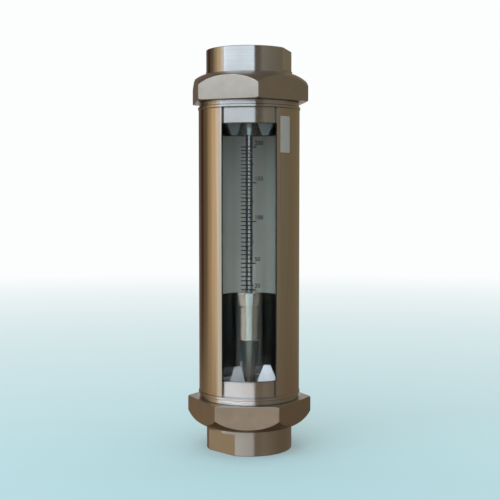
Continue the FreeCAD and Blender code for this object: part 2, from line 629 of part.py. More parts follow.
def sleeve_screws():
    """The two countersunk screws at the back of the sleeve, one at each end."""
    slot = Part.makeBox(
        SCREW_SLOT_DEPTH + EPS, 2 * SCREW_HEAD_RADIUS, SCREW_SLOT_WIDTH,
        Vector(
            SLEEVE_RADIUS - SCREW_SLOT_DEPTH, -SCREW_HEAD_RADIUS,
            SLEEVE_STATION + SPIGOT_LENGTH / 2 - SCREW_SLOT_WIDTH / 2,
        ),
    )
    screw = screw_head().fuse(screw_shank()).removeSplitter().cut(slot)
    lower = azimuth(screw, SCREW_AZIMUTH)
    upper = at_top(azimuth(screw, turned_over(SCREW_AZIMUTH)))
    return Part.makeCompound([lower, upper])


# ---------------------------------------------------------------- the assembly
def build():
    """Every node by name."""
    ends = {
        "pipe_insert": (pipe_insert(LOWER_FLATS_AZIMUTH), pipe_insert(turned_over(UPPER_FLATS_AZIMUTH))),
        "union_nut": (union_nut(LOWER_NUT_AZIMUTH), union_nut(turned_over(UPPER_NUT_AZIMUTH))),
        "slip_washer": (slip_washer(), slip_washer()),
        "flat_gasket": (flat_gasket(), flat_gasket()),
        "end_piece": (end_piece(SCREW_AZIMUTH), end_piece(turned_over(SCREW_AZIMUTH))),
        "glass_cushion": (glass_cushion(), glass_cushion()),
        "packing_ring": (packing_ring(), packing_ring()),
        "gland_nut": (gland_nut(), gland_nut()),
        "float_stop": (
            float_stop(LOWER_HUB_STATION, LOWER_STOP_AZIMUTH),
            float_stop(UPPER_HUB_STATION, turned_over(UPPER_STOP_AZIMUTH)),
        ),
        "rod_nut": (rod_nut(), rod_nut()),
    }
    nodes = {}
    for name, (lower, upper) in ends.items():
        nodes["lower_" + name] = lower
        nodes["upper_" + name] = at_top(upper)
    nodes["rod_ferrule"] = at_top(rod_ferrule())
    nodes["guide_rod"] = guide_rod()
    nodes["float_body"] = float_body()
    nodes["float_nose"] = float_nose()
    nodes["float_head_bush"] = head_bush()
    nodes["float_shank_bush"] = shank_bush()
    nodes["glass_tube"] = glass_tube()
    nodes["backing_strip"] = backing_strip()
    nodes["sleeve"] = sleeve()
    nodes["sleeve_screws"] = sleeve_screws()
    return nodes


def main():
    """Writes one STEP file per node into parts/."""
    os.makedirs("parts", exist_ok=True)
    for name, shape in build().items():
        shape.exportStep("parts/" + name + ".step")
        solids = len(shape.Solids)
        print("%-18s solids %d  valid %s  volume %.1f mm3" % (name, solids, shape.isValid(), shape.Volume))
    print("float travel %.2f mm, nut travel %.2f mm" % (FLOAT_TRAVEL, NUT_TRAVEL))


main()
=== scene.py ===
"""Looks of the glass-tube rotameter.

The CAD pieces come from model.glb. This script gives each of them its finish, adds the fine pieces that the
CAD leaves out (threads, the printed scale and the blank label) and sets the studio round them.
Lengths are in metres, unless a name ends in _mm. Azimuths are in degrees, from the middle of the window
(-Y) towards +X, unless their own text says radians.
"""

import logging
import math
from dataclasses import dataclass
from enum import Enum
from functools import cache

import bmesh
import bpy
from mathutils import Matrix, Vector


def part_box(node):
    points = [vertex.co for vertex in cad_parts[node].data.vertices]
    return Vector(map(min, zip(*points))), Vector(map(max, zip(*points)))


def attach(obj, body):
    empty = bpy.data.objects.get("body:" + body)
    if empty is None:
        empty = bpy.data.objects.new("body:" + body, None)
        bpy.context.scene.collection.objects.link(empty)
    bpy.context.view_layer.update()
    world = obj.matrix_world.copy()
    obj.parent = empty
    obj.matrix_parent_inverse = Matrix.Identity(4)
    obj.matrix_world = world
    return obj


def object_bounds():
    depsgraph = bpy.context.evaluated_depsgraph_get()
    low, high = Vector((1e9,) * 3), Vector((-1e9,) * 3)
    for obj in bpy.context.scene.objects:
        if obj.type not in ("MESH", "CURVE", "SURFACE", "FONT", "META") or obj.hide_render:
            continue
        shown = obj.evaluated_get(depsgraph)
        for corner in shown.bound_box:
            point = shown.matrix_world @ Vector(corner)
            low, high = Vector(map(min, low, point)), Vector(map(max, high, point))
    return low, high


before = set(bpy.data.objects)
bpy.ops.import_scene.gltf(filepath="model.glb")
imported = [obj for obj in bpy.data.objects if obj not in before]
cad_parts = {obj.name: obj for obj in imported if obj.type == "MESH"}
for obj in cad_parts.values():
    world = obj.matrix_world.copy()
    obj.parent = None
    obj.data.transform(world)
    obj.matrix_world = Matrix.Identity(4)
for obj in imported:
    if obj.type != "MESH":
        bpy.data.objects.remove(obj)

CAD_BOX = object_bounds()
LOG = logging.getLogger("rotameter")
MM = 0.001

Socket = bpy.types.NodeSocket
Tree = bpy.types.NodeTree
Piece = bpy.types.Object
Point = tuple[float, float, float]


# ------------------------------------------------------------------------------- small helpers
def linear(colour: str) -> tuple[float, float, float, float]:
    """Turns an sRGB hex colour into linear RGBA.

    Args:
        colour: six hex digits after a hash sign.

    Returns:
        Linear red, green and blue, and an alpha of 1.
    """
    channels = [int(colour[n : n + 2], 16) / 255 for n in (1, 3, 5)]
    curve = [c / 12.92 if c <= 0.04045 else ((c + 0.055) / 1.055) ** 2.4 for c in channels]
    return curve[0], curve[1], curve[2], 1.0


def set_stops(ramp: bpy.types.ColorRamp, stops: list[tuple[float, str]]) -> None:
    """Puts colour stops on a colour ramp.

    Args:
        ramp: the ramp, with its two default stops.
        stops: position from 0 to 1, and sRGB hex colour, in rising order.
    """
    while len(ramp.elements) < len(stops):
        ramp.elements.new(1.0)
    for element, (position, colour) in zip(ramp.elements, stops):
        element.position = position
        element.color = linear(colour)


def mesh_of(shape: bmesh.types.BMesh, name: str) -> bpy.types.Mesh:
    """Turns a shape into a mesh.

    Args:
        shape: the shape, which is freed.
        name: the mesh's name.

    Returns:
        The new mesh.
    """
    mesh = bpy.data.meshes.new(name)
    shape.to_mesh(mesh)
    shape.free()
    return mesh


def new_piece(name: str, mesh: bpy.types.Mesh, body: str) -> Piece:
    """Makes a piece of the object from a mesh that is already in place.

    Args:
        name: the piece's name.
        mesh: its mesh, in the row frame.
        body: the CAD body that it rides on.

    Returns:
        The new object.
    """
    mesh.name = name
    piece = bpy.data.objects.new(name, mesh)
    bpy.context.scene.collection.objects.link(piece)
    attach(piece, body)
    return piece


def on_axis(radius: float, azimuth: float, height: float) -> Point:
    """Returns the point at a radius, an azimuth in radians and a height about the tube's axis."""
    return radius * math.sin(azimuth), -radius * math.cos(azimuth), height


def join_rows(shape: bmesh.types.BMesh, rows: list[list[bmesh.types.BMVert]]) -> None:
    """Skins a row of four-cornered sections, and closes both ends.

    Args:
        shape: the shape that holds the corners.
        rows: the sections' corners, in order.
    """
    for near, far in zip(rows, rows[1:]):
        for n in range(4):
            shape.faces.new((near[n], near[(n + 1) % 4], far[(n + 1) % 4], far[n]))
    shape.faces.new(rows[0][::-1])
    shape.faces.new(rows[-1])


def slice_upright(shape: bmesh.types.BMesh, left: float, step: float, cuts: int) -> None:
    """Cuts a flat shape into upright slices, so that it bends smoothly.

    Args:
        shape: the shape, with X across.
        left: where the first slice starts.
        step: the slices' width.
        cuts: how many slices there are to be.
    """
    for n in range(1, cuts):
        cut = Vector((left + n * step, 0, 0))
        parts = shape.verts[:] + shape.edges[:] + shape.faces[:]
        bmesh.ops.bisect_plane(shape, geom=parts, plane_co=cut, plane_no=(1, 0, 0))


# ------------------------------------------------------------------------------- shader nodes
NOISE_LOW, NOISE_HIGH = 0.3, 0.7  # nearly all of a noise lies between them


def add_node(
    tree: Tree, kind: str, inputs: dict[str | int, object] | None = None, **settings: object
) -> bpy.types.Node:
    """Adds one node with its settings and links.

    Args:
        tree: the node tree that gets the node.
        kind: the node's Blender type name.
        inputs: input name or number to a value, or to the socket that feeds it.
        settings: the node's own properties by name.

    Returns:
        The new node.
    """
    node = tree.nodes.new(kind)
    for name, value in settings.items():
        setattr(node, name, value)
    for name, value in (inputs or {}).items():
        if isinstance(value, Socket):
            tree.links.new(value, node.inputs[name])
        else:
            node.inputs[name].default_value = value
    return node


def places(tree: Tree) -> Socket:
    """Returns places in the object's own frame."""
    return add_node(tree, "ShaderNodeTexCoord").outputs["Object"]


def scaled(tree: Tree, place: Socket, factors: Point) -> Socket:
    """Returns a place with each coordinate multiplied by its factor."""
    return add_node(tree, "ShaderNodeVectorMath", {0: place, 1: factors}, operation="MULTIPLY").outputs[0]


def combine(tree: Tree, operation: str, first: Socket, second: Socket | float) -> Socket:
    """Returns the result of a sum, comparison or other operation on two numbers."""
    return add_node(tree, "ShaderNodeMath", {0: first, 1: second}, operation=operation).outputs[0]


def alignment(tree: Tree, first: Socket, second: Socket) -> Socket:
    """Returns the cosine of the angle between two unit vectors."""
    inputs = {0: first, 1: second}
    return add_node(tree, "ShaderNodeVectorMath", inputs, operation="DOT_PRODUCT").outputs["Value"]


def noise(tree: Tree, place: Socket, size_mm: float, detail: float) -> Socket:
    """Returns a noise whose largest features have the given size."""
    inputs = {"Vector": place, "Scale": 1 / (size_mm * MM), "Detail": detail}
    return add_node(tree, "ShaderNodeTexNoise", inputs).outputs["Fac"]


def blend(tree: Tree, share: Socket | float, first: object, second: object, kind: str = "FLOAT") -> Socket:
    """Mixes two numbers or two colours.

    Args:
        tree: the node tree.
        share: share of the second, from 0 to 1.
        first: what is seen at 0: a number, a linear colour or a socket.
        second: what is seen at 1.
        kind: FLOAT for numbers, RGBA for colours.

    Returns:
        The mix.
    """
    inputs = {"Factor": share, "A": first, "B": second}
    return add_node(tree, "ShaderNodeMix", inputs, data_type=kind).outputs["Result"]


def mapped(
    tree: Tree, value: Socket, start: float, end: float, low: float = 0.0, high: float = 1.0
) -> Socket:
    """Returns a value that goes from low to high while the input goes from start to end."""
    inputs = {"Value": value, 1: start, 2: end, 3: low, 4: high}
    return add_node(tree, "ShaderNodeMapRange", inputs).outputs["Result"]


def relief(
    tree: Tree, height: Socket, strength: float, depth_mm: float, normal: Socket | None = None
) -> Socket:
    """Tilts a normal as a fine relief would.

    Args:
        tree: the node tree.
        height: the relief, from 0 to 1.
        strength: how much of it shows.
        depth_mm: its depth.
        normal: the normal that it starts from, or None for the surface's own.

    Returns:
        The tilted normal.
    """
    inputs = {"Height": height, "Strength": strength, "Distance": depth_mm * MM}
    if normal is not None:
        inputs["Normal"] = normal
    return add_node(tree, "ShaderNodeBump", inputs).outputs["Normal"]


def lined_metal(tree: Tree, colour: Socket, roughness: Socket, anisotropy: float, normal: Socket) -> Socket:
    """Builds bare metal whose fine lines draw reflections out along the axis.

    Args:
        tree: the node tree.
        colour: its colour.
        roughness: its roughness.
        anisotropy: how far the lines draw the reflections out, from 0 to 1.
        normal: its normal.

    Returns:
        The shader.
    """
    around = add_node(tree, "ShaderNodeTangent", direction_type="RADIAL", axis="Z").outputs[0]
    inputs = {
        "Base Color": colour,
        "Metallic": 1.0,
        "Roughness": roughness,
        "Anisotropic": anisotropy,
        "Anisotropic Rotation": 0.25,  # a quarter turn, from round the axis to along it
        "Tangent": around,
        "Normal": normal,
    }
    return add_node(tree, "ShaderNodeBsdfPrincipled", inputs).outputs[0]


# ------------------------------------------------------------------------------- finishes
@dataclass(frozen=True)
class Finish:
    """A surface finish, made once and shared by the pieces that have it."""

    name: str

    def shade(self, tree: Tree) -> Socket:
        """Builds the shader and returns its output."""
        raise NotImplementedError

    @cache
    def material(self) -> bpy.types.Material:
        """Makes the finish's material on the first call, and keeps it.

        Returns:
            The material.
        """
        material = bpy.data.materials.new(self.name)
        material.use_nodes = True
        material.node_tree.nodes.clear()
        surface = self.shade(material.node_tree)
        add_node(material.node_tree, "ShaderNodeOutputMaterial", {"Surface": surface})
        return material

    def dress(self, piece: Piece) -> None:
        """Gives the piece this finish all over."""
        piece.data.materials.clear()
        piece.data.materials.append(self.material())


def dress_nodes(finishes: dict[str, Finish]) -> list[Piece]:
    """Gives CAD nodes their finishes.

    Args:
        finishes: node name to finish.

    Returns:
        The nodes' objects, in the same order.
    """
    for name, finish in finishes.items():
        finish.dress(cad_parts[name])
    return [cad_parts[name] for name in finishes]


@dataclass(frozen=True)
class TurnedStainless(Finish):
    """Austenitic stainless steel, turned on a lathe.

    The tool leaves fine rings round the axis. They keep reflections crisp from side to side and draw them
    out along the axis.
    """

    colour: str = "#c9c9c8"
    shade_colour: str = "#b0afac"
    roughness: float = 0.22
    anisotropy: float = 1.0
    ring_mm: float = 1.1  # feed marks are about 0.2 mm apart; drawn coarser, so that they show
    ring_depth_mm: float = 0.004
    ring_strength: float = 0.1
    smudge_mm: float = 22.0
    smudge_share: float = 0.55  # of handling marks, against rings, in colour and roughness
    smoothest: float = 0.88  # lowest and highest roughness, as multiples of the mean
    roughest: float = 1.15

    def shade(self, tree: Tree) -> Socket:
        """Rings round the axis in bump and roughness, with soft handling marks over them.

        Args:
            tree: the material's node tree.

        Returns:
            The shader.
        """
        place = places(tree)
        height = add_node(tree, "ShaderNodeSeparateXYZ", {0: place}).outputs["Z"]
        flat = scaled(tree, place, (1, 1, 0))
        radius = add_node(tree, "ShaderNodeVectorMath", {0: flat}, operation="LENGTH").outputs["Value"]
        lathe = add_node(tree, "ShaderNodeCombineXYZ", {"X": radius, "Z": height}).outputs[0]
        rings = noise(tree, lathe, self.ring_mm, detail=3.0)
        smudges = noise(tree, place, self.smudge_mm, detail=4.0)
        marks = blend(tree, self.smudge_share, rings, smudges)
        low, high = self.roughness * self.smoothest, self.roughness * self.roughest
        roughness = mapped(tree, marks, NOISE_LOW, NOISE_HIGH, low, high)
        colour = blend(tree, marks, linear(self.colour), linear(self.shade_colour), "RGBA")
        normal = relief(tree, rings, self.ring_strength, self.ring_depth_mm)
        return lined_metal(tree, colour, roughness, self.anisotropy, normal)


@dataclass(frozen=True)
class CastStainless(Finish):
    """Investment-cast stainless steel, shot-blasted to an even satin.

    The blasting leaves a fine grain that spreads reflections. Handling has brightened the edges.
    """

    colour: str = "#b8afa3"
    shade_colour: str = "#a39a8e"
    edge_colour: str = "#cdc6bb"
    roughness: float = 0.33
    smoothest: float = 0.85  # lowest and highest roughness, as multiples of the mean
    roughest: float = 1.15
    grain_mm: float = 0.7  # shot marks are about 0.3 mm across; drawn coarser, so that they show
    grain_depth_mm: float = 0.02
    grain_strength: float = 0.5
    cloud_mm: float = 9.0
    edge_mm: float = 0.7
    edge_start: float = 0.995  # cosine of the edge's turn from which it is brighter
    edge_full: float = 0.9  # and at which it is brightest
    edge_share: float = 0.8

    def shade(self, tree: Tree) -> Socket:
        """Blasted grain in bump, clouds in colour and roughness, and brighter edges.

        Args:
            tree: the material's node tree.

        Returns:
            The shader.
        """
        place = places(tree)
        grain = noise(tree, place, self.grain_mm, detail=2.0)
        clouds = noise(tree, place, self.cloud_mm, detail=5.0)
        body = blend(tree, clouds, linear(self.colour), linear(self.shade_colour), "RGBA")
        rounded = add_node(tree, "ShaderNodeBevel", {"Radius": self.edge_mm * MM}, samples=4).outputs[0]
        true = add_node(tree, "ShaderNodeNewGeometry").outputs["Normal"]
        agree = alignment(tree, rounded, true)
        edge = mapped(tree, agree, self.edge_start, self.edge_full, 0.0, self.edge_share)
        colour = blend(tree, edge, body, linear(self.edge_colour), "RGBA")
        low, high = self.roughness * self.smoothest, self.roughness * self.roughest
        roughness = mapped(tree, clouds, NOISE_LOW, NOISE_HIGH, low, high)
        normal = relief(tree, grain, self.grain_strength, self.grain_depth_mm, rounded)
        inputs = {"Base Color": colour, "Metallic": 1.0, "Roughness": roughness, "Normal": normal}
        return add_node(tree, "ShaderNodeBsdfPrincipled", inputs).outputs[0]


@dataclass(frozen=True)
class PolishedTube(Finish):
    """Welded and drawn stainless tube, belt-polished outside and left mill-dull inside.

    The outside mirrors its surroundings in upright streaks. The bore and the sawn edges are rougher and a
    darker grey, partly duller mill metal and partly painted shade.
    """

    colour: str = "#cbc5bb"
    shade_colour: str = "#b8afa2"
    # darker grey of the bore and sawn edges: partly duller mill metal, partly painted shade
    bore_colour: str = "#77736c"
    roughness: float = 0.2
    smoothest: float = 0.8  # lowest and highest roughness outside, as multiples of the mean
    roughest: float = 1.35
    bore_roughness: float = 0.3
    bore_limit: float = 0.5  # cosine to the outward direction under which a face is bore or edge
    anisotropy: float = 0.9
    streak_mm: float = 1.6  # polishing lines are about 0.1 mm apart; drawn coarser, so that they show
    streak_stretch: float = 0.012
    streak_strength: float = 0.3
    streak_depth_mm: float = 0.003

    def shade(self, tree: Tree) -> Socket:
        """Upright streaks outside, and a rougher, darker grey in the bore and on the sawn edges, partly
        painted shade.

        Args:
            tree: the material's node tree.

        Returns:
            The shader.
        """
        place = places(tree)
        stretched = scaled(tree, place, (1, 1, self.streak_stretch))
        streaks = noise(tree, stretched, self.streak_mm, detail=4.0)
        flat = scaled(tree, place, (1, 1, 0))
        outwards = add_node(tree, "ShaderNodeVectorMath", {0: flat}, operation="NORMALIZE").outputs[0]
        true = add_node(tree, "ShaderNodeNewGeometry").outputs["True Normal"]
        bore = combine(tree, "LESS_THAN", alignment(tree, true, outwards), self.bore_limit)
        outside = blend(tree, streaks, linear(self.colour), linear(self.shade_colour), "RGBA")
        # partly painted shade: the bore and the sawn edges take the darker grey
        colour = blend(tree, bore, outside, linear(self.bore_colour), "RGBA")
        low, high = self.roughness * self.smoothest, self.roughness * self.roughest
        polished = mapped(tree, streaks, NOISE_LOW, NOISE_HIGH, low, high)
        roughness = blend(tree, bore, polished, self.bore_roughness)
        normal = relief(tree, streaks, self.streak_strength, self.streak_depth_mm)
        return lined_metal(tree, colour, roughness, self.anisotropy, normal)


@dataclass(frozen=True)
class ClearGlass(Finish):
    """Borosilicate glass, drawn as a tube and fire-polished.

    It is clear, with the faintest upright drawing lines. Lamps shine through it on what is inside.
    """

    tint: str = "#fafcfb"
    ior: float = 1.47
    line_mm: float = 2.5
    line_stretch: float = 0.01
    line_strength: float = 0.2
    line_depth_mm: float = 0.002

    def shade(self, tree: Tree) -> Socket:
        """Clear glass that lets lamps and soft light through.

        Args:
            tree: the material's node tree.

        Returns:
            The shader.
        """
        stretched = scaled(tree, places(tree), (1, 1, self.line_stretch))
        lines = noise(tree, stretched, self.line_mm, detail=2.0)
        inputs = {
            "Base Color": linear(self.tint),
            "Roughness": 0.0,
            "IOR": self.ior,
            "Transmission Weight": 1.0,
            "Normal": relief(tree, lines, self.line_strength, self.line_depth_mm),
        }
        glass = add_node(tree, "ShaderNodeBsdfPrincipled", inputs).outputs[0]
        clear = add_node(tree, "ShaderNodeBsdfTransparent", {"Color": linear(self.tint)}).outputs[0]
        path = add_node(tree, "ShaderNodeLightPath").outputs
        soft = combine(tree, "MAXIMUM", path["Is Shadow Ray"], path["Is Diffuse Ray"])
        return add_node(tree, "ShaderNodeMixShader", {0: soft, 1: glass, 2: clear}).outputs[0]


@dataclass(frozen=True)
class Speckled(Finish):
    """A non-metal with a fine grain: enamel, PTFE, moulded rubber, printing ink or label film.

    The grain breaks up both the colour and the gloss, and its size tells the materials apart.
    """

    colour: str
    shade_colour: str
    roughness: float = 0.4
    smoothest: float = 0.85  # lowest and highest roughness, as multiples of the mean
    roughest: float = 1.15
    ior: float = 1.5
    grain_mm: float = 1.5
    grain_depth_mm: float = 0.01
    grain_strength: float = 0.4
    broad_factor: float = 10.0  # size of the broad layer of grain, against the fine one
    broad_share: float = 0.5

    def shade(self, tree: Tree) -> Socket:
        """Two layers of grain in colour and roughness, and the fine one in bump.

        Args:
            tree: the material's node tree.

        Returns:
            The shader.
        """
        place = places(tree)
        fine = noise(tree, place, self.grain_mm, detail=3.0)
        broad = noise(tree, place, self.broad_factor * self.grain_mm, detail=2.0)
        both = blend(tree, self.broad_share, fine, broad)
        low, high = self.roughness * self.smoothest, self.roughness * self.roughest
        inputs = {
            "Base Color": blend(tree, both, linear(self.colour), linear(self.shade_colour), "RGBA"),
            "Roughness": mapped(tree, both, NOISE_LOW, NOISE_HIGH, low, high),
            "IOR": self.ior,
            "Normal": relief(tree, fine, self.grain_strength, self.grain_depth_mm),
        }
        return add_node(tree, "ShaderNodeBsdfPrincipled", inputs).outputs[0]


TURNED = TurnedStainless("lathe_turned_stainless")
MACHINED = TurnedStainless("milled_stainless", roughness=0.3, anisotropy=0.8)
FLOAT_STEEL = TurnedStainless("fine_turned_stainless", roughness=0.22, anisotropy=0.5)
# painted shade: the float's nose gets a darker, browner steel than its body
NOSE_STEEL = TurnedStainless(
    "water_stained_stainless", colour="#9d8f82", shade_colour="#85786c", roughness=0.34, anisotropy=0.5
)
GROUND_ROD = TurnedStainless("ground_stainless", roughness=0.22, anisotropy=0.9, ring_mm=0.8)
STOP_STEEL = CastStainless("stop_stainless", colour="#dfe1e3", shade_colour="#d0d3d6", roughness=0.6)
NUT_STEEL = CastStainless("shot_blasted_stainless")
SLEEVE_STEEL = PolishedTube("polished_tube")
GLASS = ClearGlass("drawn_borosilicate_glass")
ENAMEL = Speckled("white_enamel", "#dddcd3", "#cfcec6", grain_mm=2.0)
PTFE = Speckled("sintered_ptfe", "#ebe8e0", "#dad6cc", roughness=0.45, ior=1.38, grain_mm=0.8)
RUBBER = Speckled("moulded_nitrile_rubber", "#1d1c1b", "#2b2a28", roughness=0.6, ior=1.52, grain_mm=0.5)
INK = Speckled("fired_ink", "#151211", "#26211e", roughness=0.45, grain_mm=0.4)
LABEL_FILM = Speckled("label_film", "#a9a89f", "#99988f", roughness=0.5, grain_mm=0.6)


# ------------------------------------------------------------------------------- sub-assemblies
class End(Enum):
    """Which end of the meter a pipe union is on."""

    LOWER = "lower"
    UPPER = "upper"


@dataclass(frozen=True)
class Screw:
    """One helical thread ridge, from a plain wall to its crest."""

    wall: float
    crest: float
    pitch: float
    start: float
    length: float
    steps_per_turn: int = 72
    foot_share: float = 0.94  # width of the ridge's foot and crest, as shares of the pitch
    crest_share: float = 0.16
    run_out: float = 1 / 3  # turns over which the ridge rises from the wall at each end
    sink: float = 0.05 * MM  # how far the foot is let into the wall

    def mesh(self, top: float | None) -> bpy.types.Mesh:
        """Builds the ridge as a closed strip that runs out into the wall at both ends.

        Args:
            top: None at the lower end; at the upper end, the height of the pipe face there.

        Returns:
            The mesh, in the row frame.
        """
        turns = self.length / self.pitch - 1
        steps = int(turns * self.steps_per_turn)
        foot = self.wall - math.copysign(self.sink, self.crest - self.wall)
        wide = self.foot_share * self.pitch / 2
        narrow = self.crest_share * self.pitch / 2
        shape = bmesh.new()
        rows = []
        for step in range(steps + 1):
            angle = math.tau * step / self.steps_per_turn
            ends = min(step, steps - step) / self.steps_per_turn
            crest = self.wall + (self.crest - self.wall) * min(1.0, ends / self.run_out)
            middle = self.start + self.pitch * (0.5 + angle / math.tau)
            section = [(foot, -wide), (crest, -narrow), (crest, narrow), (foot, wide)]
            row = []
            for radius, rise in section:
                x, y, z = radius * math.cos(angle), radius * math.sin(angle), middle + rise
                row.append(shape.verts.new((x, y, z) if top is None else (x, -y, top - z)))
            rows.append(row)
        join_rows(shape, rows)
        bmesh.ops.recalc_face_normals(shape, faces=shape.faces)
        for face in shape.faces:
            face.smooth = True
        return mesh_of(shape, "thread")


@dataclass
class PipeUnion:
    """Pipe insert, union nut, end piece and the seals of one end."""

    end: End
    pipe_pitch: float = 2.309 * MM  # 11 threads to the inch
    pipe_depth_share: float = 0.64  # depth of a pipe thread as a share of its pitch
    pipe_thread_depth: float = 24.0 * MM  # how far the thread runs in
    pipe_wall: float = 29.81 * MM  # radius of the plain wall in the insert
    mouth: float = 1.2 * MM  # countersink of the pipe thread
    union_pitch: float = 2.0 * MM
    union_depth_share: float = 0.6134
    union_wall: float = 43.773 * MM  # radius of the plain wall on the end piece

    def station(self, node: str, far: bool) -> float:
        """Measures how far a node reaches from this end's pipe face.

        Args:
            node: the node's name, without the end's.
            far: True for its side towards the middle of the meter, False for the one towards the pipe.

        Returns:
            The distance along the axis.
        """
        low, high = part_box(f"{self.end.value}_{node}")
        if self.end is End.LOWER:
            return high.z if far else low.z
        top = CAD_BOX[1].z
        return top - (low.z if far else high.z)

    def build(self) -> list[Piece]:
        """Dresses the CAD nodes and adds both threads.

        Returns:
            The pieces of this end.
        """
        finishes = {
            "pipe_insert": TURNED,
            "union_nut": NUT_STEEL,
            "slip_washer": PTFE,
            "flat_gasket": RUBBER,
            "end_piece": TURNED,
            "glass_cushion": RUBBER,
            "packing_ring": PTFE,
            "gland_nut": MACHINED,
            "float_stop": STOP_STEEL,
            "rod_nut": MACHINED,
        }
        pieces = dress_nodes({f"{self.end.value}_{name}": finish for name, finish in finishes.items()})
        return pieces + [self.pipe_thread(), self.union_thread()]

    def pipe_thread(self) -> Piece:
        """Adds the female pipe thread inside the insert.

        Returns:
            Its ridge.
        """
        crest = self.pipe_wall - self.pipe_depth_share * self.pipe_pitch
        length = self.pipe_thread_depth - self.mouth
        return self.thread("pipe_thread", Screw(self.pipe_wall, crest, self.pipe_pitch, self.mouth, length))

    def union_thread(self) -> Piece:
        """Adds the male union thread on the end piece, under the nut.

        Returns:
            Its ridge.
        """
        start = self.station("end_piece", far=False) + self.union_pitch / 2
        length = self.station("union_nut", far=True) - start
        crest = self.union_wall + self.union_depth_share * self.union_pitch
        return self.thread("union_thread", Screw(self.union_wall, crest, self.union_pitch, start, length))

    def thread(self, name: str, screw: Screw) -> Piece:
        """Makes a thread ridge into a piece of this end.

        Args:
            name: the thread's name, without the end's.
            screw: its sizes.

        Returns:
            The new piece.
        """
        top = None if self.end is End.LOWER else CAD_BOX[1].z
        piece = new_piece(f"{self.end.value}_{name}", screw.mesh(top), "meter")
        MACHINED.dress(piece)
        return piece


@dataclass
class MeteringTube:
    """Glass tube with its printed scale, and the white strip behind it."""

    first: int = 20
    last: int = 200
    numbered: tuple[int, ...] = (20, 50, 100, 150, 200)
    minor_step: int = 5
    middle_step: int = 25
    first_rise: float = 8.3 * MM  # first mark above the strip's lower edge
    spacing: float = 0.785 * MM  # mean height of a unit, from the first mark to even_reading
    crowding: float = 0.00058 * MM  # how fast the units close up
    even_reading: int = 100
    mark_left: float = -7.6 * MM
    minor_right: float = 2.6 * MM
    middle_right: float = 4.2 * MM
    major_right: float = 6.5 * MM
    minor_width: float = 0.95 * MM
    major_width: float = 1.05 * MM
    ink: float = 0.04 * MM
    digit_height: float = 4.0 * MM
    digit_left: float = 5.0 * MM
    digit_rise: float = 3.6 * MM  # digits' middle above their mark
    digit_weight: float = 0.06 * MM  # added to each side of a stroke
    cap_share: float = 0.73  # height of a digit as a share of the font's size
    arc_step: float = 0.5 * MM  # width of a flat of a bent print
    weld: float = 1e-4 * MM  # corners of the digits that are closer than this are joined

    def build(self) -> list[Piece]:
        """Dresses glass and strip, and prints the scale.

        Returns:
            The tube's pieces.
        """
        pieces = dress_nodes({"glass_tube": GLASS, "backing_strip": ENAMEL})
        return pieces + [self.marks(), self.numbers()]

    def height(self, reading: float) -> float:
        """Finds a reading's place on the scale.

        Args:
            reading: the scale's value.

        Returns:
            The height of its mark.
        """
        above = reading - self.first
        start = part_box("backing_strip")[0].z + self.first_rise
        return start + self.spacing * above - self.crowding * above * (reading - self.even_reading)

    def wrap(self, shape: bmesh.types.BMesh) -> None:
        """Bends a flat print in the XY plane, Z outwards, round the front of the glass.

        Args:
            shape: the print, with X across, Y up the tube and Z off the glass.
        """
        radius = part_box("glass_tube")[1].x
        for vertex in shape.verts:
            across, up, off = vertex.co
            vertex.co = on_axis(radius + off, across / radius, up)

    def marks(self) -> Piece:
        """Prints the scale's cross lines.

        Returns:
            All of them, as one piece.
        """
        shape = bmesh.new()
        for reading in range(self.first, self.last + 1, self.minor_step):
            width, right = self.minor_width, self.minor_right
            if reading in self.numbered:
                width, right = self.major_width, self.major_right
            elif reading % self.middle_step == 0:
                right = self.middle_right
            self.bar(shape, self.mark_left, right, self.height(reading), width)
        self.wrap(shape)
        return self.printed("scale_marks", shape)

    def bar(
        self, shape: bmesh.types.BMesh, left: float, right: float, height: float, width: float
    ) -> None:
        """Adds one flat bar of ink.

        Args:
            shape: the print that gets the bar.
            left: its left end.
            right: its right end.
            height: the height of its middle.
            width: its width up the tube.
        """
        columns = math.ceil((right - left) / self.arc_step)
        rows = []
        for n in range(columns + 1):
            across = left + (right - left) * n / columns
            corners = [(-width / 2, 0), (width / 2, 0), (width / 2, self.ink), (-width / 2, self.ink)]
            rows.append([shape.verts.new((across, height + up, off)) for up, off in corners])
        join_rows(shape, rows)

    def numbers(self) -> Piece:
        """Prints the scale's numbers.

        Returns:
            All of them, as one piece.
        """
        shape = bmesh.new()
        for reading in self.numbered:
            curve = bpy.data.curves.new(f"number_{reading}", "FONT")
            curve.body = str(reading)
            curve.size = self.digit_height / self.cap_share
            curve.extrude = self.ink / 2
            curve.offset = self.digit_weight
            curve.align_y = "CENTER"
            writing = bpy.data.objects.new(curve.name, curve)
            flat = bpy.data.meshes.new_from_object(writing)
            middle = self.height(reading) + self.digit_rise
            for vertex in flat.vertices:
                vertex.co += Vector((self.digit_left, middle, self.ink / 2))
            shape.from_mesh(flat)
            bpy.data.objects.remove(writing)
            bpy.data.curves.remove(curve)
            bpy.data.meshes.remove(flat)
        bmesh.ops.remove_doubles(shape, verts=shape.verts, dist=self.weld)
        right = max(vertex.co.x for vertex in shape.verts)
        cuts = math.ceil((right - self.digit_left) / self.arc_step)
        slice_upright(shape, self.digit_left, self.arc_step, cuts)
        self.wrap(shape)
        return self.printed("scale_numbers", shape)

    def printed(self, name: str, shape: bmesh.types.BMesh) -> Piece:
        """Makes a wrapped print into a piece in fired ink.

        Args:
            name: the piece's name.
            shape: its shape, which is freed.

        Returns:
            The new piece.
        """
        bmesh.ops.recalc_face_normals(shape, faces=shape.faces)
        piece = new_piece(name, mesh_of(shape, name), "meter")
        INK.dress(piece)
        return piece


